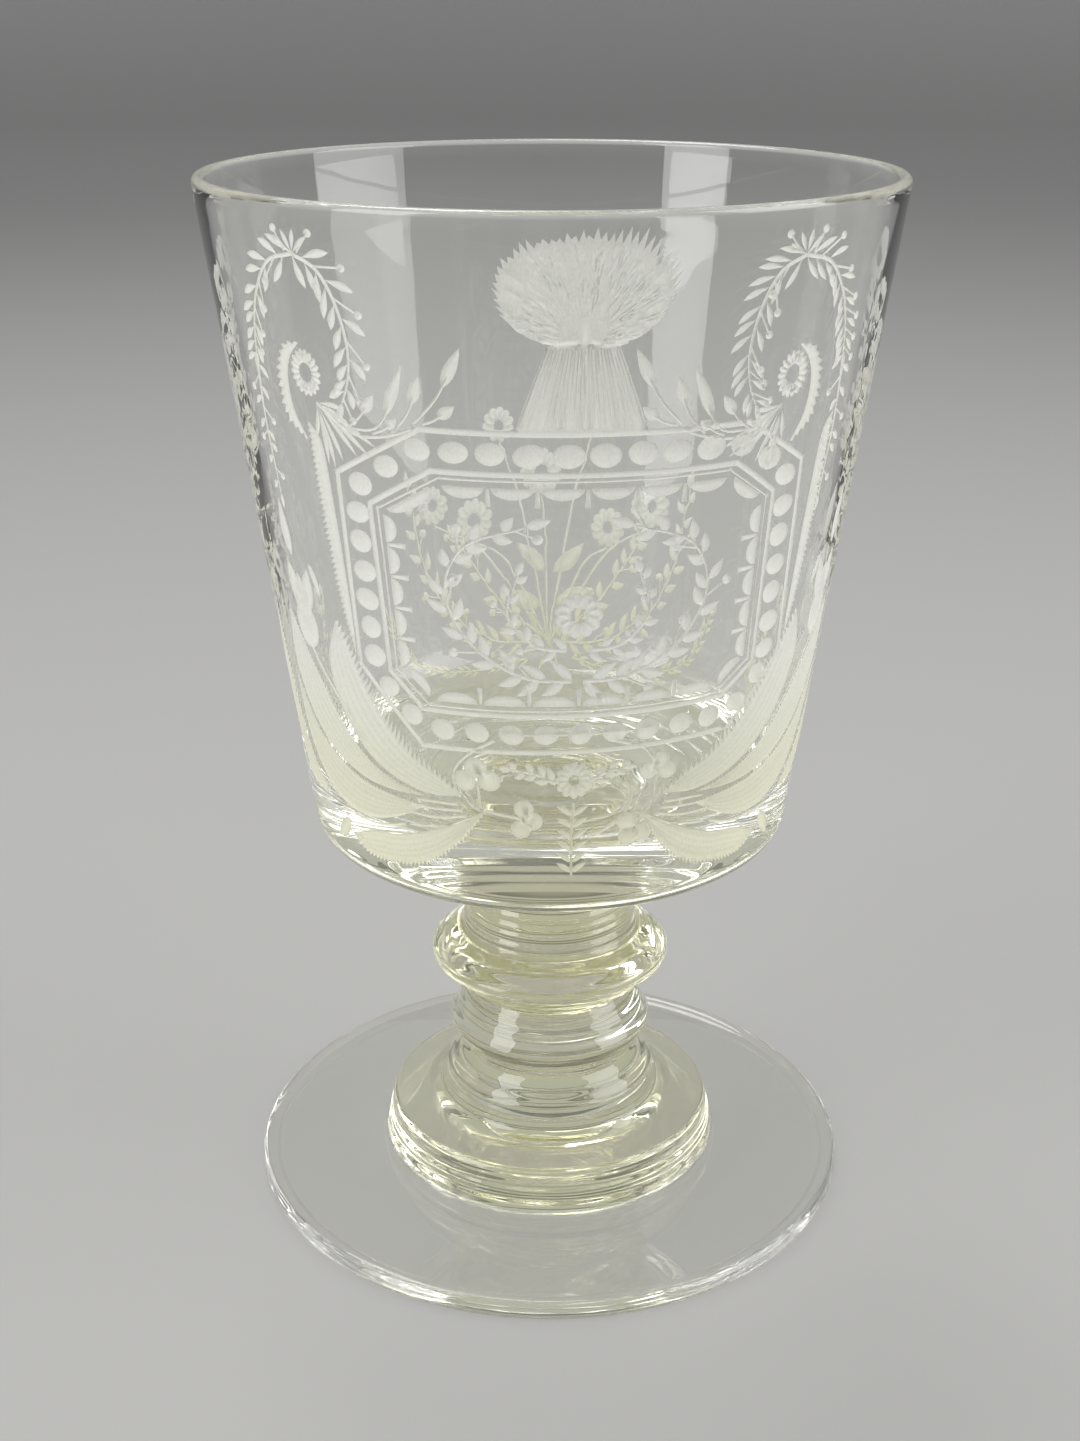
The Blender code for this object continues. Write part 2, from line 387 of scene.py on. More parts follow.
# The bowl
# A blown bucket bowl with a straight tapering wall, a thick base and a fire-rounded rim, fused to the neck.
# The engraved sheet below takes the place of the plain outside of its wall.
rim_radius = 53.1
rim_wall = 2.0
base_radius = 39.4
base_wall = 3.0
corner_round = 5.4
underside_drop = 1.6
base_thickness = 11.0
floor_dish = 1.0
floor_dish_steps = 36
floor_round = 7.0

bowl_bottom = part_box("bowl")[0].z / MM
lip_round = rim_wall / 2
lip_radius = rim_radius - lip_round
lip_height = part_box("bowl")[1].z / MM - lip_round
corner_radius = base_radius - corner_round
corner_height = bowl_bottom + underside_drop + corner_round
taper = math.atan2(rim_radius - base_radius, lip_height - corner_height)
taper_degrees = math.degrees(taper)
floor_height = bowl_bottom + underside_drop + base_thickness
inside_share = (floor_height + floor_round - corner_height) / (lip_height - corner_height)
inside_radius = base_radius + (rim_radius - base_radius) * inside_share - base_wall
floor_radius = inside_radius - floor_round
underside_lean = math.degrees(math.atan2(underside_drop, corner_radius - neck_top))
dish_radii = [floor_radius * step / floor_dish_steps for step in range(floor_dish_steps)]
dish = [(r, floor_height - floor_dish * (1 - (r / floor_radius) ** 2)) for r in dish_radii]
bowl_outline = tool_rings(dish, pitch=5.2, depth=0.06, level=True)
bowl_outline += rounding(floor_radius, floor_height + floor_round, floor_round, -90, -taper_degrees, 12)
lip = rounding(lip_radius, lip_height, lip_round, 180 - taper_degrees, -taper_degrees, 16)
corner = rounding(corner_radius, corner_height, corner_round, -taper_degrees, underside_lean - 90, 14)
underside = straight(corner[-1], (neck_top, bowl_seam), steps=40)
underside = tool_rings(underside, pitch=3.4, depth=0.14, level=True)
bowl_outline += lip + corner + underside[1:] + [(0.0, bowl_seam)]
wall_top_radius, wall_top = lip[-1]
wall_foot_radius, wall_foot = corner[0]
bowl = turn_piece("engraved_bowl", bowl_outline)
fuse(bowl, bowl_seam, neck_top)

# The engraving
# Cut in the outside of the bowl with a copper wheel and left grey. The pattern is set out flat, in mm across
# and mm of height, cut as outlines with their deepest lines inside, and then laid round the tapering wall.
DEGREE_WIDTH = 0.81
SHEET_START = -117.0
SHEET_ROWS = 48
BEND_STEP = 1.25
LEAF_DEPTH = 0.18
PETAL_DEPTH = 0.14
RIDGE_DEPTH = 0.05
chance = random.Random(1810)
pattern_points = []
pattern_depths = []
pattern_ribs = []
pattern_cuts = []


def spot(angle, height):
    """A place on the flat pattern, in degrees round the bowl to the right of its front and mm of height."""
    return Vector((angle * DEGREE_WIDTH, height))


def beside(middle, side, points):
    """A line of places that are measured out to one side of a middle, in degrees, and up."""
    return [spot(middle + side * angle, height) for angle, height in points]


def eased(line):
    """The same line, with points close enough together to bend round the bowl."""
    points = [line[0]]
    for a, b in zip(line, line[1:]):
        parts = max(1, math.ceil(abs(b.x - a.x) / BEND_STEP))
        points.extend(a.lerp(b, part / parts) for part in range(1, parts + 1))
    return points


def cut(outline, ribs=(), depth=LEAF_DEPTH, ridges=()):
    """One cut of the wheel: its edge, the lines where it is deepest, and the ridges left between them."""
    area = sum(a.cross(b) for a, b in zip(outline, outline[1:] + outline[:1]))
    edge = eased(outline + outline[:1])[:-1]
    first = len(pattern_points)
    pattern_points.extend(edge if area > 0 else edge[::-1])
    pattern_depths.extend([0.0] * len(edge))
    pattern_cuts.append(list(range(first, first + len(edge))))
    for lines, sunk in ((ribs, depth), (ridges, RIDGE_DEPTH)):
        for line in map(eased, lines):
            first = len(pattern_points)
            pattern_points.extend(line)
            pattern_depths.extend([sunk] * len(line))
            pattern_ribs.extend((index, index + 1) for index in range(first, first + len(line) - 1))


def smooth_line(anchors, steps=6):
    """A smooth line through a few points of the pattern."""
    padded = [anchors[0] * 2 - anchors[1], *anchors, anchors[-1] * 2 - anchors[-2]]
    line = []
    for a, b, c, d in zip(padded, padded[1:], padded[2:], padded[3:]):
        for step in range(steps):
            t = step / steps
            line.append(
                0.5 * (2 * b + (c - a) * t + (2 * a - 5 * b + 4 * c - d) * t * t
                       + (3 * b - 3 * c + d - a) * t ** 3)
            )
    return line + [anchors[-1]]


def normals(line):
    """The direction square to a line at each of its points, to its left."""
    ends = zip([line[0]] + line[:-1], line[1:] + [line[-1]])
    return [Vector((a.y - b.y, b.x - a.x)).normalized() for a, b in ends]


def stroke(line, start_width, end_width):
    """A line cut with the edge of the wheel, which may run out thinner."""
    last = len(line) - 1
    halves = [(start_width + (end_width - start_width) * i / last) / 2 for i in range(last + 1)]
    square = normals(line)
    left = [p + n * h for p, n, h in zip(line, square, halves)]
    right = [p - n * h for p, n, h in zip(line, square, halves)]
    cut(left + right[::-1], [line])


def leaf(base, tip, width, bow=0.0, steps=6, swell=0.8):
    """A pointed leaf with a deep midrib, broadest near its base or, with a high swell, near its tip."""
    run = tip - base
    square = Vector((-run.y, run.x)).normalized()
    left, middle, right = [], [], []
    for step in range(1, steps):
        t = step / steps
        here = base + run * t + square * bow * 4 * t * (1 - t)
        half = square * width / 2 * math.sin(math.pi * t ** swell)
        left.append(here + half)
        middle.append(here)
        right.append(here - half)
    cut([base] + left + [tip] + right[::-1], [middle])


def oval(centre, half_long, half_wide, turn=0.0, depth=LEAF_DEPTH, steps=16, level=0.6):
    """A round hollow made with the flat of the wheel, turned by degrees, a share of whose floor is level."""
    lean = math.radians(turn)
    along = Vector((math.cos(lean), math.sin(lean))) * half_long
    square = Vector((-math.sin(lean), math.cos(lean))) * half_wide
    ring = [math.tau * step / steps for step in range(steps)]
    outline = [centre + along * math.cos(t) + square * math.sin(t) for t in ring]
    floor = [centre + (p - centre) * level for p in outline[::2]]
    cut(outline, [floor + floor[:1]], depth)


def daisy(centre, radius, eye, petals=11, tall=1.0):
    """A flower of overlapping petals round a bare eye, which may be taller than it is wide."""
    for petal in range(petals):
        turn = math.tau * petal / petals
        out = Vector((math.cos(turn), math.sin(turn) * tall))
        lean = math.degrees(math.atan2(out.y, out.x))
        half_long = (radius - eye) / 2 * out.length
        half_wide = math.pi * radius / petals
        oval(centre + out * (radius + eye) / 2, half_long, half_wide, lean, PETAL_DEPTH, 10)


def berry(start, centre, radius):
    """A round berry on a fine stalk."""
    stroke([start, (start + centre) / 2, centre], 0.35, 0.3)
    oval(centre, radius, radius, steps=10)


def spray(anchors, leaves, length, width, berries=0, lean=38.0, swell=0.8):
    """A stem with leaves on both sides and a leaf at its tip, and a berry for every few leaves."""
    line = smooth_line(anchors)
    stroke(line, 0.6, 0.35)
    square = normals(line)
    for number in range(leaves):
        place = int((number + 0.6) / leaves * (len(line) - 1))
        side = 1 if number % 2 else -1
        forward = Vector((square[place].y, -square[place].x))
        turn = math.radians(lean + chance.uniform(-8, 8))
        out = forward * math.cos(turn) + square[place] * side * math.sin(turn)
        size = length * (1 - 0.35 * number / leaves) * chance.uniform(0.9, 1.1)
        if berries and number % berries == berries - 1:
            berry(line[place], line[place] + out * size, max(width * 0.5, 0.6))
        else:
            leaf(line[place], line[place] + out * size, width, 0.2 * side, 6, swell)
    tip = line[-1]
    leaf(tip, tip + Vector((square[-1].y, -square[-1].x)) * length * 0.8, width)


def even_points(line, parts):
    """Points at even steps along a line."""
    lengths = [0.0]
    for a, b in zip(line, line[1:]):
        lengths.append(lengths[-1] + (b - a).length)
    points = []
    place = 0
    for part in range(parts + 1):
        goal = lengths[-1] * part / parts
        while place < len(line) - 2 and lengths[place + 1] < goal:
            place += 1
        share = (goal - lengths[place]) / (lengths[place + 1] - lengths[place])
        points.append(line[place].lerp(line[place + 1], share))
    return points


def frond(toothed, plain, teeth, tooth, grain):
    """A leaf between two edges that share their ends, one cut in fine teeth, with strokes along it."""
    near = even_points(smooth_line(toothed), 2 * teeth)
    far = even_points(smooth_line(plain), 2 * teeth)
    square = normals(near)
    side = 1 if square[teeth].dot(near[teeth] - far[teeth]) > 0 else -1
    edge, ribs, ridges = [], [], []
    for number, here in enumerate(near):
        if number % 2:
            out = square[number] * side
            forward = Vector((square[number].y, -square[number].x))
            fullness = 0.35 + 0.65 * math.sin(math.pi * number / (2 * teeth))
            reach = tooth * fullness * chance.uniform(0.75, 1.1)
            tip = here + (out + forward * 0.5) * reach
            edge.append(tip)
            ribs.append([here.lerp(far[number], 0.04), here.lerp(tip, 0.8)])
        else:
            edge.append(here)
    first, last = round(0.16 * teeth), round(1.84 * teeth)
    for line in range(1, 2 * grain):
        wander = chance.uniform(-0.3, 0.3) / (2 * grain)
        along = [far[i].lerp(near[i], line / (2 * grain) + wander) for i in range(first, last, 3)]
        (ribs if line % 2 else ridges).append(along)
    cut(edge + far[-2:0:-2], ribs, PETAL_DEPTH, ridges)


# The octagonal panel, with its lines, the beads between them and the husks inside
PANEL_OUTER = ((-21.1, 141.1), (32.6, 141.1), (46.2, 134.2), (48.8, 103.8),
               (37.4, 94.2), (-26.0, 93.0), (-38.7, 104.2), (-37.8, 133.4))
PANEL_INNER = ((-19.8, 135.4), (31.2, 135.5), (40.0, 130.4), (41.4, 104.2),
               (34.3, 99.8), (-25.1, 99.0), (-31.5, 104.2), (-31.7, 129.6))
PANEL_LINE = 0.85
FINE_LINE = 0.35
FINE_LINE_INSET = 1.35
LINE_OVERRUN = 0.35
BEAD_ROWS = (
    ((-21.6, 138.2), (32.1, 138.2), 10), ((42.6, 132.3), (44.6, 105.5), 7), ((43.4, 101.6), (38.6, 98.1), 2),
    ((31.9, 96.7), (-21.1, 96.0), 9), ((-27.6, 97.6), (-32.2, 101.6), 2), ((-34.9, 106.1), (-34.6, 128.0), 6),
    ((-33.2, 132.3), (-27.6, 135.4), 2), ((37.9, 135.4), (37.9, 135.4), 1),
)
BEAD_HALF_LONG = (1.9, 2.2)
BEAD_HALF_WIDE = (1.55, 1.8)
BEAD_LEAN = 14
BEAD_DEPTH = 0.12
BEAD_THREAD = ((-9.5, 96.2), (4.0, 96.35), (20.0, 96.5))
BEAD_THREAD_WIDTH = 0.4
HUSK_ROWS = (
    ((-22.5, 100.6), (32.5, 101.2), 6, 1.7), ((38.6, 105.0), (37.6, 129.0), 5, 1.9),
    ((29.8, 133.6), (-18.5, 133.5), 6, 1.7), ((-29.2, 128.6), (-29.0, 105.0), 5, 1.9),
    ((-28.5, 105.0), (-23.2, 100.9), 1, 1.7), ((33.0, 101.4), (38.3, 105.2), 1, 1.7),
    ((37.2, 130.2), (30.6, 133.7), 1, 1.7), ((-19.6, 133.4), (-29.0, 128.9), 1, 1.7),
)


def ruled_frame(corners, width, inset=0.0):
    """Straight lines from corner to corner, run a little past each other as a wheel does."""
    middle = sum((spot(*corner) for corner in corners), Vector((0, 0))) / len(corners)
    pulled = []
    for corner in corners:
        out = spot(*corner) - middle
        pulled.append(middle + out * (1 - inset / out.length))
    for a, b in zip(pulled, pulled[1:] + pulled[:1]):
        over = (b - a).normalized() * LINE_OVERRUN
        stroke([a - over, a.lerp(b, 0.35), a.lerp(b, 0.7), b + over], width, width)


def husk(start, end, rise):
    """Half a husk, standing on the panel's inner line to its left."""
    run = end - start
    up = Vector((-run.y, run.x)).normalized() * rise
    turns = [math.pi * step / 8 for step in range(9)]
    arch = [start + run * (0.5 - 0.5 * math.cos(t)) + up * math.sin(t) for t in turns]
    cut(arch, [[start + run * s + up * 0.45 for s in (0.2, 0.4, 0.6, 0.8)]])


def husk_row(start, end, count, rise):
    """Husks along a line, with a small bud between each two."""
    run = (spot(*end) - spot(*start)) / count
    up = Vector((-run.y, run.x)).normalized()
    for number in range(count):
        first = spot(*start) + run * number
        husk(first + run * 0.06, first + run * 0.94, rise)
        if number:
            stroke([first + up * 0.1, first + up * rise * 0.8, first + up * rise * 1.6], 0.45, 0.8)


ruled_frame(PANEL_OUTER, PANEL_LINE)
ruled_frame(PANEL_INNER, PANEL_LINE)
ruled_frame(PANEL_INNER, FINE_LINE, FINE_LINE_INSET)
stroke([spot(*p) for p in BEAD_THREAD], BEAD_THREAD_WIDTH, BEAD_THREAD_WIDTH)
for start, end, count in BEAD_ROWS:
    for number in range(count):
        place = spot(*start).lerp(spot(*end), number / max(count - 1, 1))
        place += Vector((chance.uniform(-0.25, 0.25), chance.uniform(-0.12, 0.12)))
        half_long = chance.uniform(*BEAD_HALF_LONG)
        half_wide = chance.uniform(*BEAD_HALF_WIDE)
        oval(place, half_long, half_wide, chance.uniform(-BEAD_LEAN, BEAD_LEAN), BEAD_DEPTH, level=0.84)
for row in HUSK_ROWS:
    husk_row(*row)

# A sprig of laurel in the panel, either side of a flower
PANEL_MIDDLE = 4.6
PANEL_FLOWER_HEIGHT = 115.0
LAUREL_BRANCH = ((1.0, 104.8), (10.0, 105.5), (19.0, 110.0), (23.5, 117.5), (19.5, 124.8), (9.0, 128.0))
LAUREL_CURL = ((2.0, 109.6), (8.0, 110.5), (12.5, 115.0), (10.5, 121.0))
daisy(spot(PANEL_MIDDLE, PANEL_FLOWER_HEIGHT), 3.5, 1.1)
for side in (-1, 1):
    spray(beside(PANEL_MIDDLE, side, LAUREL_BRANCH), leaves=25, length=4.6, width=1.6, berries=5)
    spray(beside(PANEL_MIDDLE, side, LAUREL_CURL), leaves=11, length=3.0, width=1.15, berries=4)

# The wheatsheaf above the panel
SHEAF_MIDDLE = 4.4
SHEAF_SQUASH = 0.9
SHEAF_TOP = 168.1
TIE_HEIGHT = 153.2
EAR_REACH = 13.4
EARS = 46
EAR_STROKES = 150
SKIRT_TOP = TIE_HEIGHT - 0.3
SKIRT_FOOT = 141.5
SKIRT_WIDTHS = (10.6, 20.6)
STALKS = 24
STALK_DEPTH = 0.26
STALK_DROPS = (0.05, 0.35, 0.65, 0.96)
TIE_STROKES = (
    (((-5.2, 0.7), (-2.6, 0.0), (-0.8, 0.2)), 0.9, 1.1),
    (((1.2, 0.2), (3.0, -0.2), (5.2, 0.4)), 1.1, 0.9),
    (((-0.2, 3.2), (0.1, 0.4), (-0.2, -3.6)), 1.3, 0.5),
)
tie = spot(SHEAF_MIDDLE, TIE_HEIGHT)


def ear_length(lean):
    """How far the ears reach from the tie, broad at the shoulders and drawn in below."""
    shoulder = 1 + 0.09 * math.sin(2 * lean) ** 2
    return EAR_REACH * shoulder * (1 - 0.61 * abs(lean / math.radians(90)) ** 4.5)


def ear_way(lean):
    """The direction of an ear that leans from upright."""
    return Vector((math.sin(lean) * SHEAF_SQUASH, math.cos(lean)))


def on_skirt(share, drop):
    """A place on the sheaf's stalks, from its left to its right edge and from the tie down."""
    width = SKIRT_WIDTHS[0] + (SKIRT_WIDTHS[1] - SKIRT_WIDTHS[0]) * drop
    return spot(SHEAF_MIDDLE + (share - 0.5) * width, SKIRT_TOP + (SKIRT_FOOT - SKIRT_TOP) * drop)


head = []
for number in range(2 * EARS + 1):
    lean = math.radians(90 * (number / EARS - 1))
    tip = tie + ear_way(lean) * ear_length(lean)
    if number % 2:
        bristle = chance.uniform(0.1, 0.85) + 1.1 * max(0.0, math.sin(2 * lean)) * chance.uniform(0.4, 1.2)
        tip = tip + ear_way(lean) * bristle + Vector((chance.uniform(-0.15, 0.15), bristle * 0.6))
        tip.y = min(tip.y, SHEAF_TOP - chance.uniform(0.0, 0.4))
    else:
        tip = tip - ear_way(lean) * chance.uniform(0.0, 0.5)
    head.append(tip)
cut(head)
for number in range(EAR_STROKES):
    lean = math.radians(chance.uniform(-82, 82))
    start = chance.uniform(0.25, 0.78)
    end = min(start + chance.uniform(0.16, 0.36), 0.98)
    turned = lean + math.radians(chance.uniform(-4, 4))
    foot_of_ear = tie + ear_way(lean) * ear_length(lean) * start
    tip_of_ear = tie + ear_way(turned) * ear_length(turned) * end
    leaf(foot_of_ear, tip_of_ear, chance.uniform(0.4, 0.75), 0.0, 4, 1.3)
stalk_lines = [
    [on_skirt((number + chance.uniform(-0.2, 0.2)) / (2 * STALKS), drop) for drop in STALK_DROPS]
    for number in range(1, 2 * STALKS)
]
skirt = [on_skirt(0, 0), on_skirt(0, 1), on_skirt(1, 1), on_skirt(1, 0)]
cut(skirt, stalk_lines[::2], STALK_DEPTH, stalk_lines[1::2])
for points, start_width, end_width in TIE_STROKES:
    stroke([tie + Vector(p) for p in points], start_width, end_width)

# The garlands either side of the sheaf, with their flowers, crescents, tufts and buds
GARLANDS = ((-1, -41.0, 20, 1.2), (1, 39.5, 26, 0.9))
GARLAND_TOP = 163.5
GARLAND_KNOT = (0.6, -20.6)
INNER_LIMB = ((0, -0.5), (4.5, -2.3), (7.3, -6.5), (8.6, -12), (8.0, -16.5), (6.3, -20))
OUTER_LIMB = ((0, -0.5), (-6, -2), (-10.5, -6.5), (-12.8, -11), (-13.9, -15))
OUTER_DROP = ((-14.0, -15.5), (-15.0, -25), (-14.3, -36))
TOP_LEAF_LEANS = (-60, -25, 10, 45)
TOP_BERRIES = (((1.0, -0.3), (3.8, 2.4)), ((-1.5, -0.3), (-3.4, 2.6)))
CRESCENT_FLOWER = (-0.9, -16.6)
CRESCENT_TOOTHED = ((-1.6, -12.6), (-5.2, -13.5), (-7.2, -16.6), (-7.5, -20), (-6.8, -23.3), (-2.6, -26.3))
CRESCENT_PLAIN = ((-1.6, -12.6), (-4.0, -14.6), (-5.3, -17), (-5.6, -20), (-4.9, -22.9), (-2.6, -26.3))
TUFT = ((6.4, -20.9), (7.0, -22.8), (-0.4, -25.6), (1.6, -29.4), (3.0, -29.6), (4.9, -28.4),
        (8.0, -27.4), (10.4, -27.1), (12.0, -25.8))
BUD_BRANCH = (GARLAND_KNOT, (6.5, -23.8), (11.0, -24.3), (16.0, -23.4), (20.0, -22.0))
BUDS = (
    ((6.5, -23.5), (9.4, -21.6), (12.5, -18.2)), ((6.5, -23.5), (13.0, -22.4), (17.9, -13.8)),
    ((15.2, -23.3), (18.4, -20.0), (20.5, -15.0)), ((19.0, -21.8), (23.4, -17.6), (27.3, -11.0)),
    ((20.5, -21.7), (22.6, -21.0), (26.0, -18.9)), ((11.5, -23.8), (13.8, -22.9), (16.2, -21.4)),
)
BUD_WIDTH = 1.7


def garland(side, apex, leaves, leaf_width):
    """One garland, whose places are measured from its top, in towards the sheaf and up."""
    def inward(points):
        return [spot(apex - side * angle, GARLAND_TOP + height) for angle, height in points]

    top = inward(INNER_LIMB)[0]
    spray(inward(INNER_LIMB), leaves, 4.9, leaf_width, berries=4, swell=1.4)
    spray(inward(OUTER_LIMB), leaves - 2, 4.6, leaf_width, berries=4, swell=1.4)
    spray(inward(OUTER_DROP), 13, 3.0, 1.0, berries=3, lean=50.0, swell=1.2)
    for lean in TOP_LEAF_LEANS:
        out = Vector((math.sin(math.radians(lean)), math.cos(math.radians(lean))))
        leaf(top, top + out * 3.4, 0.75, swell=1.4)
    for stalk in TOP_BERRIES:
        berry(*inward(stalk), radius=0.6)
    flower, knot = inward((CRESCENT_FLOWER, GARLAND_KNOT))
    daisy(flower, 2.75, 1.05, petals=18, tall=1.22)
    frond(inward(CRESCENT_TOOTHED), inward(CRESCENT_PLAIN), teeth=15, tooth=1.0, grain=1)
    for tip in inward(TUFT):
        leaf(knot, tip, 0.8, 0.2, 8, 1.5)
    stroke(smooth_line(inward(BUD_BRANCH)), 0.5, 0.4)
    for bud in BUDS:
        stem = smooth_line(inward(bud))
        stroke(stem[:-4], 0.42, 0.36)
        leaf(stem[-6], stem[-1], BUD_WIDTH)


for each in GARLANDS:
    garland(*each)

# The combed fronds down the panel's sides and the flowers beyond them
COMB_TOOTHED = ((-42.9, 140.0), (-42.5, 130.0), (-41.7, 120.0), (-40.9, 112.0), (-39.4, 105.5))
COMB_PLAIN = ((-42.9, 140.0), (-40.4, 137.0), (-39.7, 128.0), (-39.3, 118.0), (-39.2, 111.0), (-39.4, 105.5))
COMB_MIDDLES = ((1, 0.0), (-1, 10.6))
SIDE_FLOWERS = ((-1, -54.2), (1, 64.0))
SIDE_FLOWER_HEIGHT = 107.2
SEPALS = ((-3.2, 9.4, 3.2), (0.4, 8.2, 3.0), (3.6, 9.8, 3.2))


def side_flower(side, middle):
    """A tall flower on a bent stem, whose places are measured out from its middle and up."""
    def from_middle(angle, height):
        return spot(middle + side * angle, SIDE_FLOWER_HEIGHT + height)

    oval(from_middle(0, 0), 3.7, 3.1, 90.0, PETAL_DEPTH, 20, 0.8)
    for angle, height, width in SEPALS:
        leaf(from_middle(angle * 0.25, 0.5), from_middle(angle, height), width, 0.0, 8, 1.2)
    leaf(from_middle(1.4, 10.4), from_middle(2.6, 19.5), 2.6, 0.3)
    leaf(from_middle(-4.2, 10.6), from_middle(-6.4, 5.4), 1.3, 0.2)
    stem = [from_middle(-0.5, -3.4), from_middle(-4.0, -7.4), from_middle(-13.5, -16.0)]
    stroke(smooth_line(stem), 0.6, 0.4)


for flip, middle in COMB_MIDDLES:
    frond(beside(middle, flip, COMB_TOOTHED), beside(middle, flip, COMB_PLAIN), 40, 1.0, 1)
for side, middle in SIDE_FLOWERS:
    side_flower(side, middle)

# The large fronds, stalks and serrated leaves that rise from the foot of the bowl. For each frond this gives
# the edge with teeth, the plain edge, the count and length of the teeth and the count of strokes along it.
FOOT_MIDDLE = 2.2
FOOT_LEAN = 0.1
FOOT_LEAN_START = 84.0
FRONDS = (
    (((20.9, 85.2), (26, 88), (31, 90), (35.5, 93), (39.8, 97), (43, 101), (46, 105.5), (49, 109.8)),
     ((20.9, 85.2), (28.5, 84.8), (36.5, 86.4), (43.4, 89.4), (48.4, 94), (51.4, 99), (52, 104), (49, 109.8)),
     34, 2.5, 5),
    (((29, 84.2), (37.5, 85.8), (44.5, 88.6), (50.2, 92.8), (55.5, 98), (60.5, 103), (66, 109)),
     ((29, 84.2), (39, 84.0), (47, 85.0), (55, 87.6), (62.5, 92.5), (67, 100), (66, 109)),
     56, 0.5, 6),
    (((29, 82.4), (38, 83.0), (46, 84.0), (54, 86.3), (61, 90), (68.5, 98)),
     ((29, 82.4), (35.5, 79.6), (43, 77.8), (52, 78), (60.5, 81.5), (66.5, 88.5), (68.5, 98)),
     50, 0.5, 6),
    (((59, 78.3), (66.5, 83), (71.5, 90.5), (74.5, 99), (76, 108)),
     ((59, 78.3), (69, 78.6), (76, 86), (79.5, 96), (76, 108)),
     34, 1.2, 5),
    (((15.5, 83.2), (19.5, 79.2), (23, 76.2), (27, 73.8), (32, 72.0), (39, 71.0), (46, 70.9), (51, 73)),
     ((15.5, 83.2), (22.5, 80.4), (30, 77.8), (36.5, 76.2), (43, 75.4), (51, 73)),
     38, 0.8, 5),
)
FROND_STALKS = (
    ((21.5, 83.7), (26.0, 83.6), (31.0, 83.4)), ((20.5, 82.8), (26.5, 82.4), (32.0, 82.3)),
    ((19.5, 82.0), (26.5, 80.9), (34.0, 80.9)), ((19.0, 81.5), (25.0, 79.6), (33.0, 78.6)),
    ((34.0, 78.4), (42.0, 76.9), (54.0, 77.0)),
)
LAST_LEAF = ((51.5, 75.6), (58.0, 70.8))


def foot_fronds(side):
    """The fronds of one side, placed by how far they stand out from a middle that leans to the right."""
    def outward(points):
        middles = [FOOT_MIDDLE + FOOT_LEAN * (height - FOOT_LEAN_START) for angle, height in points]
        return [spot(middle + side * angle, height) for middle, (angle, height) in zip(middles, points)]

    for toothed, plain, teeth, tooth, grain in FRONDS:
        frond(outward(toothed), outward(plain), teeth, tooth, grain)
    for stalk in FROND_STALKS:
        stroke(smooth_line(outward(stalk)), 0.55, 0.35)
    leaf(*outward(LAST_LEAF), 2.6, 0.3)


for side in (-1, 1):
    foot_fronds(side)

# The flower and trefoils at the middle of the foot of the bowl
FOOT_FLOWER = (4.4, 88.8)
FOOT_STEM = ((4.4, 85.0), (4.0, 79.0), (4.2, 72.5))
FOOT_LEAF_MIDDLE = 4.2
FOOT_LEAF_HEIGHTS = (83.6, 81.6, 79.6, 77.6, 75.6, 73.8)
TREFOILS = (
    ((-15.0, 88.2), 1.95, (-14.6, 83.5)), ((-6.0, 82.2), 1.7, (-13.5, 83.2)),
    ((21.7, 89.3), 1.6, (21.2, 84.5)), ((17.4, 80.2), 1.75, (20.6, 83.8)),
)
RIGHT_SPRAY = ((7.8, 88.6), (11.0, 90.0), (14.5, 90.4))
LEFT_SPRAY = ((0.8, 88.2), (-3.0, 89.8), (-8.0, 90.4))
SCROLLS = (
    (((-11, 95.1), (-15.7, 92.9), (-19.4, 90), (-20, 87.2), (-18.7, 85)), 0.6),
    (((12.5, 95), (15.8, 94.2), (18.5, 93.2), (20.5, 91.4)), 0.6),
    (((14.3, 88.2), (16.1, 86.1), (14.7, 82.7), (10.6, 80.2), (7.3, 79.4)), 0.9),
)


def trefoil(centre, radius, foot):
    """Three round leaves on a stalk."""
    up = (centre - foot).normalized()
    square = Vector((-up.y, up.x))
    for out in (up, square, -square):
        oval(centre + out * radius * 1.05, radius, radius * 0.92, depth=0.16, steps=12)
    stroke([foot, (foot + centre) / 2, centre], 0.5, 0.5)


daisy(spot(*FOOT_FLOWER), 3.1, 0.8, petals=12)
stroke(smooth_line([spot(*p) for p in FOOT_STEM]), 0.55, 0.4)
for height in FOOT_LEAF_HEIGHTS:
    for side in (-1, 1):
        base, tip = beside(FOOT_LEAF_MIDDLE, side, ((0, height - 0.8), (3.4, height + 1.0)))
        leaf(base, tip, 1.0, 0.15 * side)
for centre, radius, foot in TREFOILS:
    trefoil(spot(*centre), radius, spot(*foot))
spray([spot(*p) for p in RIGHT_SPRAY], leaves=6, length=2.6, width=1.1)
spray([spot(*p) for p in LEFT_SPRAY], leaves=7, length=2.8, width=1.2)
for scroll, width in SCROLLS:
    stroke(smooth_line([spot(*p) for p in scroll]), width, width * 0.7)

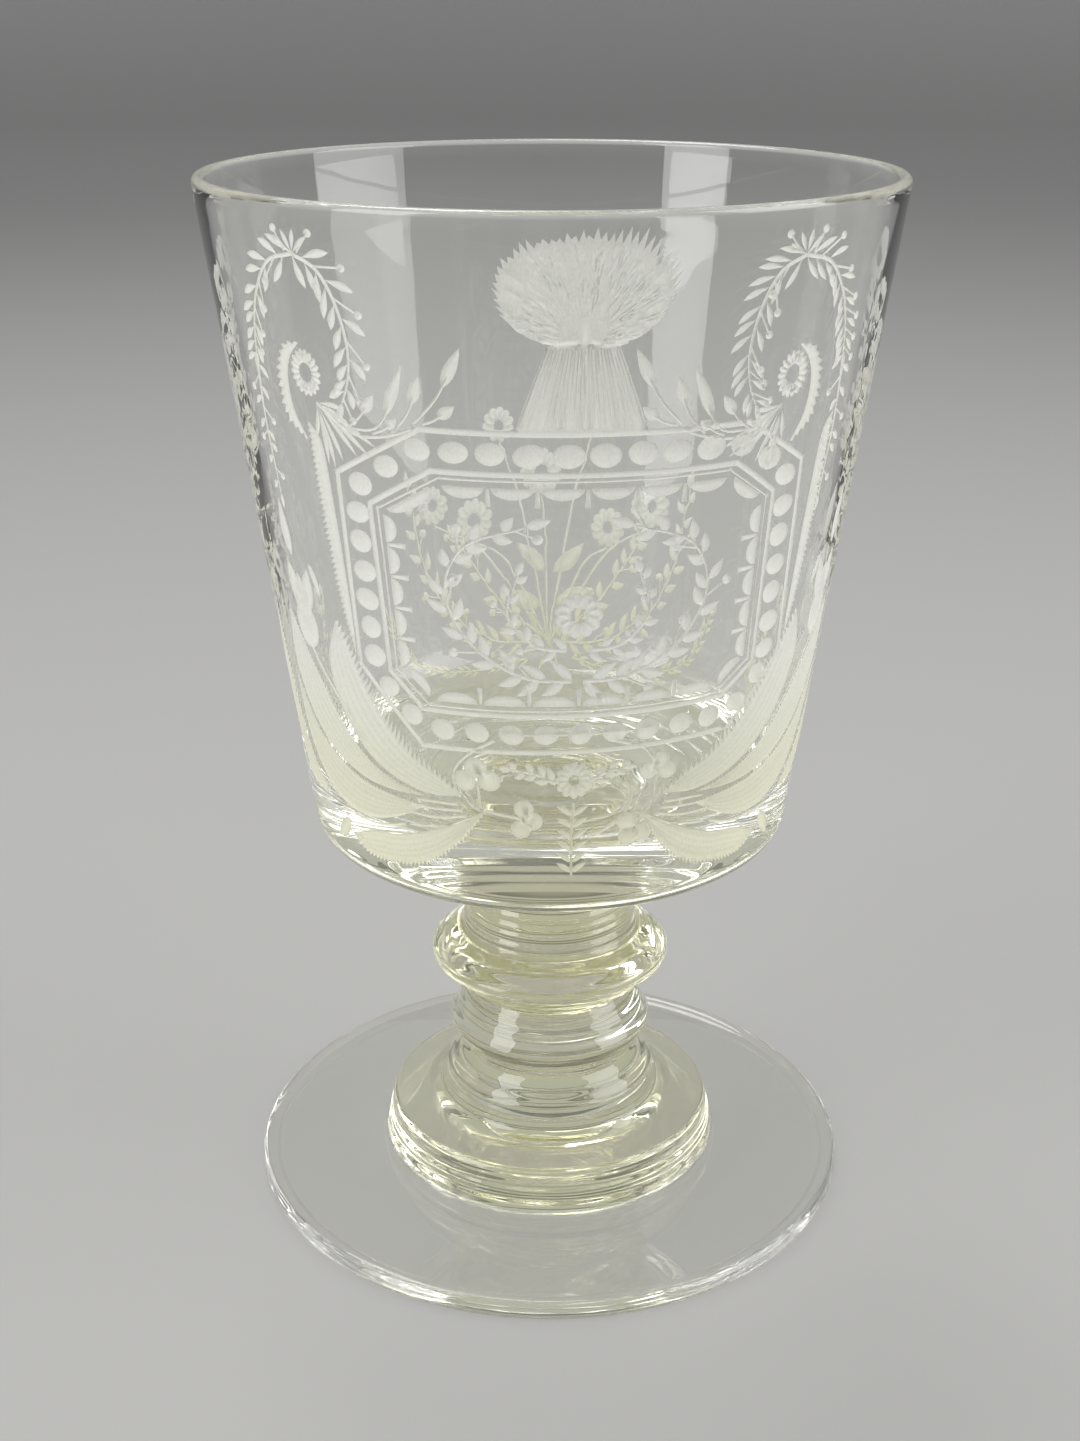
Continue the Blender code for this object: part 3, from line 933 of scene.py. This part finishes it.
# A low sprig with a flower at each side of the bowl, between two narrow fronds
SPRIG_MIDDLES = (-102.0, 102.0)
SPRIG_STEM = ((0, 73.5), (0, 79.0), (0, 86.0), (0, 92.0))
SPRIG_FLOWER_HEIGHT = 97.6
SPRIG_TWIG = ((0.5, 80.0), (4.0, 84.0), (5.5, 89.5))
SPRIG_TOOTHED = ((0.5, 72.5), (4.5, 76.5), (8.0, 82.5), (10.0, 91.0))
SPRIG_PLAIN = ((0.5, 72.5), (7.5, 75.0), (11.5, 82.0), (10.0, 91.0))
for middle in SPRIG_MIDDLES:
    spray(beside(middle, 1, SPRIG_STEM), leaves=11, length=3.2, width=1.3, berries=5)
    daisy(spot(middle, SPRIG_FLOWER_HEIGHT), 2.8, 0.8, petals=10)
    for side in (-1, 1):
        spray(beside(middle, side, SPRIG_TWIG), leaves=7, length=2.6, width=1.1, berries=4)
        frond(beside(middle, side, SPRIG_TOOTHED), beside(middle, side, SPRIG_PLAIN), 24, 1.0, 2)

# The bouquet on the back
BACK = 180.0
BOUQUET_FOOT = 78.0
BOUQUET = ((-30.0, 105.5, 3.6), (-19.0, 102.0, 4.0), (15.0, 100.5, 3.6), (26.0, 105.0, 4.0),
           (-2.0, 110.0, 4.2), (-12.0, 118.5, 3.2), (10.0, 119.5, 3.2))
BACK_TWIG = ((2, 80), (12, 86), (20, 94), (24, 99))
BACK_BRANCH = ((3, 79), (16, 80), (27, 86), (34, 96), (36, 109))
BACK_FERN = ((6, 75.5), (20, 73.5), (33, 75), (42, 80), (47, 88))
BACK_LEAVES = (((1, 92), (9, 97.5), 3.2, 0.4), ((2, 86), (12, 89.0), 3.4, -0.4))
BACK_STALK = ((0.5, 78.5), (1.5, 75.0), (3.5, 71.5))
bouquet_foot = spot(BACK, BOUQUET_FOOT)
for angle, height, radius in BOUQUET:
    flower = spot(BACK - angle, height)
    bend = bouquet_foot.lerp(flower, 0.55) + Vector((0, 2.5))
    stroke(smooth_line([bouquet_foot, bend, flower - Vector((0, radius))]), 0.55, 0.4)
    daisy(flower, radius, radius * 0.28)
for side in (-1, 1):
    spray(beside(BACK, side, BACK_TWIG), leaves=15, length=4.2, width=1.6, berries=5)
    spray(beside(BACK, side, BACK_BRANCH), leaves=24, length=4.4, width=1.6, berries=5)
    spray(beside(BACK, side, BACK_FERN), leaves=32, length=3.4, width=0.9, lean=30.0)
    for base, tip, width, bow in BACK_LEAVES:
        leaf(*beside(BACK, side, (base, tip)), width, bow)
    stroke(beside(BACK, side, BACK_STALK), 0.6, 0.4)


def laid_round(flat, depth):
    """A point of the flat pattern on the tapering wall, sunk below its surface."""
    angle = math.radians(flat.x / DEGREE_WIDTH)
    share = (flat.y - wall_foot) / (wall_top - wall_foot)
    radius = wall_foot_radius + (wall_top_radius - wall_foot_radius) * share - depth * math.cos(taper)
    height = flat.y + depth * math.sin(taper)
    return Vector((radius * math.sin(angle), -radius * math.cos(angle), height)) * MM


SAME_POINT = 0.0001
GROUND_SLOT = 2
drawn = len(pattern_points)
grid = [
    spot(SHEET_START + 360.0 * column / TURN_STEPS, wall_foot + (wall_top - wall_foot) * row / SHEET_ROWS)
    for column in range(TURN_STEPS + 1) for row in range(SHEET_ROWS + 1)
]


def lay_out(plain_points):
    """The pattern in triangles, with the points of the plain wall round it."""
    points = pattern_points + plain_points
    return delaunay_2d_cdt(points, pattern_ribs, pattern_cuts, 0, SAME_POINT)


# Only the points of the wall that touch its plain glass are kept, and the pattern is laid out again
_, _, first_faces, first_sources, _, first_cuts = lay_out(grid)
on_plain_wall = set()
for face, cuts in zip(first_faces, first_cuts):
    if not cuts:
        on_plain_wall.update(source - drawn for point in face for source in first_sources[point])
grid = [point for number, point in enumerate(grid) if number in on_plain_wall]
flat_points, _, flat_faces, from_points, _, from_cuts = lay_out(grid)
pattern_depths += [0.0] * len(grid)
in_cut_only = [True] * len(flat_points)
for face, cuts in zip(flat_faces, from_cuts):
    if not cuts:
        for corner_index in face:
            in_cut_only[corner_index] = False
sheet_depths = []
for sources, inside in zip(from_points, in_cut_only):
    deepest = max((pattern_depths[source] for source in sources), default=0.0)
    sheet_depths.append(max(deepest, RIDGE_DEPTH) if inside else 0.0)
sheet_mesh = bpy.data.meshes.new("engraved_sheet")
sheet_mesh.from_pydata([laid_round(*place) for place in zip(flat_points, sheet_depths)], [], flat_faces)
sheet_mesh.attributes.new("cut_depth", "FLOAT", "POINT").data.foreach_set("value", sheet_depths)
for face, cuts in zip(sheet_mesh.polygons, from_cuts):
    face.material_index = GROUND_SLOT if cuts else 0
    face.use_smooth = True
sheet = bpy.data.objects.new("engraved_sheet", sheet_mesh)
bpy.context.scene.collection.objects.link(sheet)


# How much whiter a cut is painted for each mm of its depth: a painted highlight that stands in for the light
# the wheel's deep lines catch
DEPTH_PAINTED_HIGHLIGHT = 3.0


def ground_glass():
    """Glass cut by the wheel and left grey, with the fine lines of the grit, and painted whiter where the cut
    is deep: a painted highlight for the light the grooves catch.
    """
    material, nodes, link, grey = new_material("ground_glass")
    set_sockets(grey, IOR=GLASS_BEND, Transmission_Weight=0.15)
    place = nodes.new("ShaderNodeTexCoord")
    lines = nodes.new("ShaderNodeMapping")
    set_sockets(lines, Scale=(1.0, 1.0, 0.5))
    link(place.outputs["Object"], lines.inputs["Vector"])
    grit = nodes.new("ShaderNodeTexNoise")
    set_sockets(grit, Scale=4200.0, Detail=3.0)
    link(lines.outputs["Vector"], grit.inputs["Vector"])
    depth = nodes.new("ShaderNodeAttribute")
    depth.attribute_name = "cut_depth"
    # The grit's fine lines are the glass's own. The depth of the cut is added to them as a painted highlight,
    # so the deep lines show whiter.
    grit_and_painted_highlight = nodes.new("ShaderNodeMath")
    grit_and_painted_highlight.operation = "MULTIPLY_ADD"
    grit_and_painted_highlight.inputs[1].default_value = DEPTH_PAINTED_HIGHLIGHT
    link(depth.outputs["Fac"], grit_and_painted_highlight.inputs[0])
    link(grit.outputs["Fac"], grit_and_painted_highlight.inputs[2])
    shade = nodes.new("ShaderNodeValToRGB")
    shade.color_ramp.elements[0].position = 0.35
    shade.color_ramp.elements[0].color = (0.8, 0.8, 0.735, 1.0)
    shade.color_ramp.elements[1].position = 0.95
    shade.color_ramp.elements[1].color = (0.97, 0.972, 0.905, 1.0)
    link(grit_and_painted_highlight.outputs[0], shade.inputs["Fac"])
    body = add_old_glass(nodes, thin=(1.0, 1.0, 1.0), thick=(0.965, 0.95, 0.78),
                         thick_below=70.0, thin_above=112.0, stretch=0.4)
    tinted = nodes.new("ShaderNodeMix")
    tinted.data_type = "RGBA"
    tinted.blend_type = "MULTIPLY"
    set_sockets(tinted, Factor=1.0)
    link(shade.outputs["Color"], tinted.inputs[MIX_COLOURS[0]])
    link(body.outputs["Colour"], tinted.inputs[MIX_COLOURS[1]])
    link(tinted.outputs[MIX_RESULT], grey.inputs["Base Color"])
    rough = nodes.new("ShaderNodeMapRange")
    set_sockets(rough, To_Min=0.5, To_Max=0.75)
    link(grit.outputs["Fac"], rough.inputs["Value"])
    link(rough.outputs["Result"], grey.inputs["Roughness"])
    furrow = nodes.new("ShaderNodeBump")
    set_sockets(furrow, Strength=0.5, Distance=0.05 * MM)
    link(grit.outputs["Fac"], furrow.inputs["Height"])
    link(furrow.outputs["Normal"], grey.inputs["Normal"])
    return material


bowl_glass = clear_glass("bowl_glass", thin=(0.99, 0.992, 0.978), thick=(0.9, 0.885, 0.66),
                         thick_below=66.0, thin_above=82.0, stretch=0.4)
bowl_materials = (bowl_glass, FUSED, ground_glass())

# The plain faces of the wall, which run in one from its foot to its top, give way to the engraved sheet
bpy.ops.object.select_all(action="DESELECT")
bowl.select_set(True)
bpy.context.view_layer.objects.active = bowl
bpy.ops.object.mode_set(mode="EDIT")
bpy.ops.mesh.select_all(action="DESELECT")
bpy.ops.object.mode_set(mode="OBJECT")
for face in bowl.data.polygons:
    heights = [bowl.data.vertices[i].co.z / MM for i in face.vertices]
    outside = face.normal.xy.dot(face.center.xy) > 0
    face.select = outside and max(heights) - min(heights) > 0.9 * (wall_top - wall_foot)
bpy.ops.object.mode_set(mode="EDIT")
bpy.ops.mesh.delete(type="FACE")
bpy.ops.object.mode_set(mode="OBJECT")
sheet.select_set(True)
for piece in (bowl, sheet):
    for material in bowl_materials:
        piece.data.materials.append(material)
bpy.ops.object.join()
bpy.ops.object.mode_set(mode="EDIT")
bpy.ops.mesh.select_all(action="SELECT")
bpy.ops.mesh.remove_doubles(threshold=MERGE_GAP * MM)
bpy.ops.mesh.normals_make_consistent(inside=False)
bpy.ops.mesh.select_mode(type="FACE")
bpy.ops.mesh.select_all(action="DESELECT")
bowl.active_material_index = GROUND_SLOT
bpy.ops.object.material_slot_select()
bpy.ops.mesh.region_to_loop()
bpy.ops.mesh.mark_sharp()
bpy.ops.object.mode_set(mode="OBJECT")
finish_piece(bowl, (), "bowl")

# The floor and the light
# A plain floor that sweeps up into a paler wall all round, in metres. Tall soft boxes stand in front on the
# left and on the right, a third hangs above and behind, and the room gives an even light.
floor_reach = 2.4
sweep_round = 0.9
sweep_steps = 10
wall_height = 1.4
wall_paint_height = 0.3
lit_point = (0.0, 0.0, 0.12)
box_spread = 110.0
room_strength = 0.5
bpy.ops.object.select_all(action="DESELECT")
bpy.ops.mesh.primitive_circle_add(vertices=128, radius=floor_reach, fill_type="NGON")
floor = bpy.context.object
floor.name = "floor"
bpy.ops.object.mode_set(mode="EDIT")
sweep_turns = [math.pi / 2 * step / sweep_steps for step in range(sweep_steps + 1)]
sweep = [(floor_reach + sweep_round * math.sin(t), sweep_round * (1 - math.cos(t))) for t in sweep_turns]
sweep.append((floor_reach + sweep_round, wall_height))
for (r, z), (next_r, next_z) in zip(sweep, sweep[1:]):
    bpy.ops.mesh.extrude_region_move(TRANSFORM_OT_translate={"value": (0, 0, next_z - z)})
    bpy.ops.transform.resize(value=(next_r / r, next_r / r, 1))
bpy.ops.mesh.delete(type="ONLY_FACE")
bpy.ops.object.mode_set(mode="OBJECT")
bpy.ops.object.shade_smooth()
floor_paint, nodes, link, paint = new_material("floor_paint")
set_sockets(paint, Roughness=0.9)
where = nodes.new("ShaderNodeTexCoord")
height = nodes.new("ShaderNodeSeparateXYZ")
link(where.outputs["Object"], height.inputs[0])
paler = nodes.new("ShaderNodeValToRGB")
paler.color_ramp.elements[0].color = (0.4, 0.393, 0.38, 1.0)
paler.color_ramp.elements[1].position = wall_paint_height
paler.color_ramp.elements[1].color = (0.6, 0.593, 0.58, 1.0)
link(height.outputs["Z"], paler.inputs["Fac"])
link(paler.outputs["Color"], paint.inputs["Base Color"])
floor.data.materials.append(floor_paint)

SOFT_BOXES = (
    ("left_box", (-0.84, -0.55, 0.60), (0.5, 1.05), 3.0),
    ("right_box", (1.02, -0.24, 0.60), (0.8, 1.05), 3.7),
    ("back_box", (-0.3, 0.5, 1.4), (0.7, 0.7), 3.2),
)
for name, place, size, power in SOFT_BOXES:
    lamp = bpy.data.lights.new(name, "AREA")
    lamp.shape = "RECTANGLE"
    lamp.size, lamp.size_y = size
    lamp.energy = power
    lamp.spread = math.radians(box_spread)
    box = bpy.data.objects.new(name, lamp)
    box.location = place
    box.rotation_euler = (Vector(lit_point) - Vector(place)).to_track_quat("-Z", "Y").to_euler()
    box.visible_camera = False
    bpy.context.scene.collection.objects.link(box)
world = bpy.data.worlds.new("room")
world.use_nodes = True
set_sockets(world.node_tree.nodes["Background"], Color=(0.95, 0.98, 1.0, 1.0), Strength=room_strength)
bpy.context.scene.world = world

# The camera
# It looks down on the glass as the photograph does, from a little above the rim and close in front.
film_width = 36.0
lens_length = 47.72
camera_place = (-0.00169, -0.29486, 0.19824)
looking_down = 21.6
camera_data = bpy.data.cameras.new("camera")
camera_data.sensor_width = film_width
camera_data.lens = lens_length
camera = bpy.data.objects.new("camera", camera_data)
camera.location = camera_place
camera.rotation_euler = (math.radians(90.0 - looking_down), 0.0, 0.0)
bpy.context.scene.collection.objects.link(camera)
bpy.context.scene.camera = camera
bpy.context.scene.view_settings.view_transform = "Standard"
light_paths = bpy.context.scene.cycles
light_paths.max_bounces = 48
light_paths.transmission_bounces = 48
light_paths.glossy_bounces = 24
light_paths.transparent_max_bounces = 40
